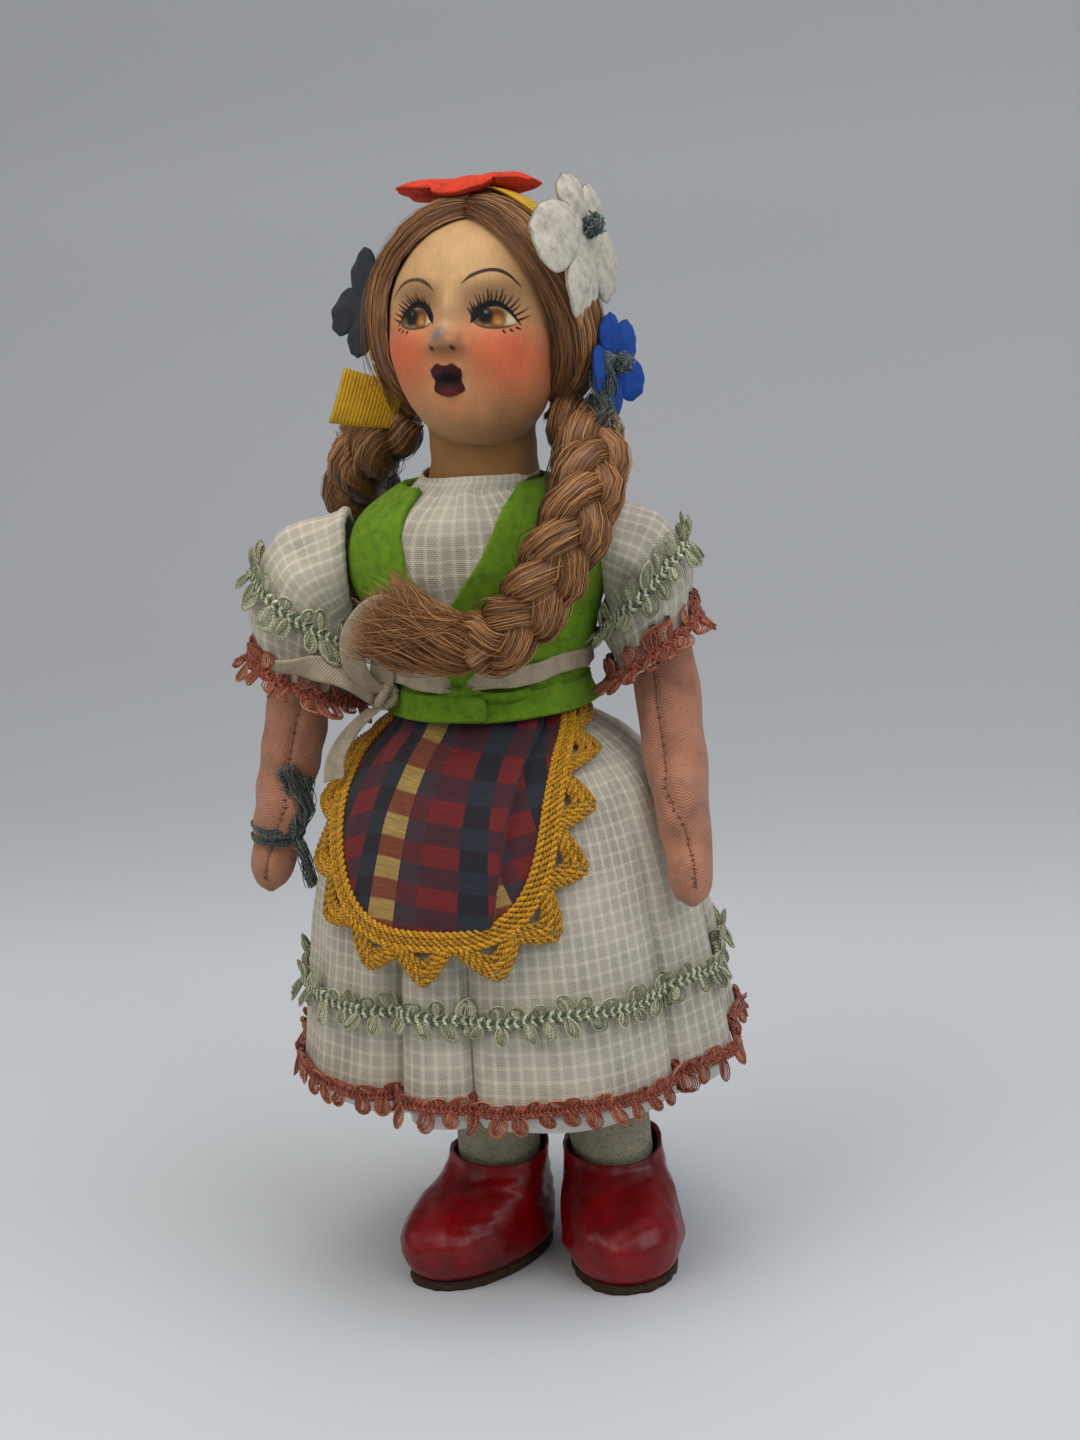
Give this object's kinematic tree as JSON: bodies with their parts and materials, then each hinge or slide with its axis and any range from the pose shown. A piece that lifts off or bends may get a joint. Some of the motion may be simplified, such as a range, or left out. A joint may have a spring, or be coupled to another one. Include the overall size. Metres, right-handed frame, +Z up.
{
  "type": "rag doll",
  "caption": "Standing stuffed cloth girl doll in folk dress: painted face, braided hair with felt flowers, vest, plaid apron, trimmed skirt and moulded shoes.",
  "frame": {"origin": "on the floor under the middle of the doll, below its hips", "axes": "+Z up from the soles to the crown, the doll faces -Y, its own left hand is at +X"},
  "size_m": [0.0849, 0.073, 0.1933],
  "materials": {
    "stuffed_cotton": "plain stuffed cotton",
    "cream_stockinet": "knitted, matte",
    "pink_stockinet": "brushed, matte",
    "painted_face_cloth": "pressed and painted",
    "mohair": "combed and plaited",
    "red_leathercloth": "moulded, glossy",
    "brown_sole_board": "pressed, worn",
    "checked_dimity": "thin woven check",
    "white_lining": "plain weave",
    "green_felt": "felted",
    "plaid_cotton": "woven plaid",
    "yellow_crochet_cotton": "crocheted",
    "yellow_grosgrain": "ribbed ribbon",
    "beige_tape": "woven tape",
    "green_cream_gimp": "looped braid",
    "coral_gimp": "looped braid",
    "red_felt": "felted",
    "white_felt": "felted, aged",
    "blue_felt": "felted",
    "grey_felt": "felted",
    "green_grey_wool": "spun yarn"
  },
  "bodies": {
    "body": {"torso": "stuffed_cotton", "blouse": "checked_dimity", "vest": "green_felt", "waist_ribbon": "beige_tape", "waist_bow_knot": "beige_tape", "waist_bow_loop": "beige_tape", "waist_bow_upper_tail": "beige_tape", "waist_bow_lower_tail": "beige_tape", "petticoat": "white_lining", "skirt": "checked_dimity", "skirt_green_trim": "green_cream_gimp", "skirt_coral_trim": "coral_gimp", "apron": "plaid_cotton", "apron_lace": "yellow_crochet_cotton"},
    "head": {"neck": "pink_stockinet", "head_core": "stuffed_cotton", "face_mask": "painted_face_cloth", "hair": "mohair", "headband_ribbon": "yellow_grosgrain", "headband_left_end": "yellow_grosgrain", "headband_right_end": "yellow_grosgrain", "red_flower": "red_felt", "white_flower": "white_felt", "white_flower_centre": "green_grey_wool", "blue_flower": "blue_felt", "blue_flower_centre": "green_grey_wool", "grey_flower": "grey_felt", "left_braid": "mohair", "left_braid_tassel": "mohair", "right_braid": "mohair", "right_braid_tassel": "mohair"},
    "left_arm": {"left_arm": "pink_stockinet", "left_sleeve": "checked_dimity", "left_sleeve_green_trim": "green_cream_gimp", "left_sleeve_coral_trim": "coral_gimp"},
    "right_arm": {"right_arm": "pink_stockinet", "right_sleeve": "checked_dimity", "right_sleeve_green_trim": "green_cream_gimp", "right_sleeve_coral_trim": "coral_gimp", "wrist_yarn": "green_grey_wool"},
    "left_leg": {"left_leg": "cream_stockinet", "left_shoe": "red_leathercloth", "left_sole": "brown_sole_board"},
    "right_leg": {"right_leg": "cream_stockinet", "right_shoe": "red_leathercloth", "right_sole": "brown_sole_board"}
  },
  "joints": [
    {"name": "neck_turn", "type": "hinge", "parent": "body", "child": "head", "pos_m": [0.001, 0, 0.1397], "axis": [0, 0, 1], "range_deg": [-30, 30], "deforming": ["left_braid", "left_braid_tassel", "right_braid", "right_braid_tassel"]},
    {"name": "left_shoulder_swing", "type": "hinge", "parent": "body", "child": "left_arm", "pos_m": [0.0244, 0, 0.1268], "axis": [-1, 0, 0], "range_deg": [0, 110], "deforming": ["left_braid"]},
    {"name": "right_shoulder_swing", "type": "hinge", "parent": "body", "child": "right_arm", "pos_m": [-0.0244, 0, 0.1268], "axis": [-1, 0, 0], "range_deg": [0, 110], "deforming": ["waist_bow_upper_tail", "waist_bow_lower_tail", "waist_bow_loop"]},
    {"name": "left_hip_swing", "type": "hinge", "parent": "body", "child": "left_leg", "pos_m": [0.0085, 0, 0.077], "axis": [-1, 0, 0], "range_deg": [-20, 24]},
    {"name": "right_hip_swing", "type": "hinge", "parent": "body", "child": "right_leg", "pos_m": [-0.0085, 0, 0.077], "axis": [-1, 0, 0], "range_deg": [-20, 24]}
  ]
}
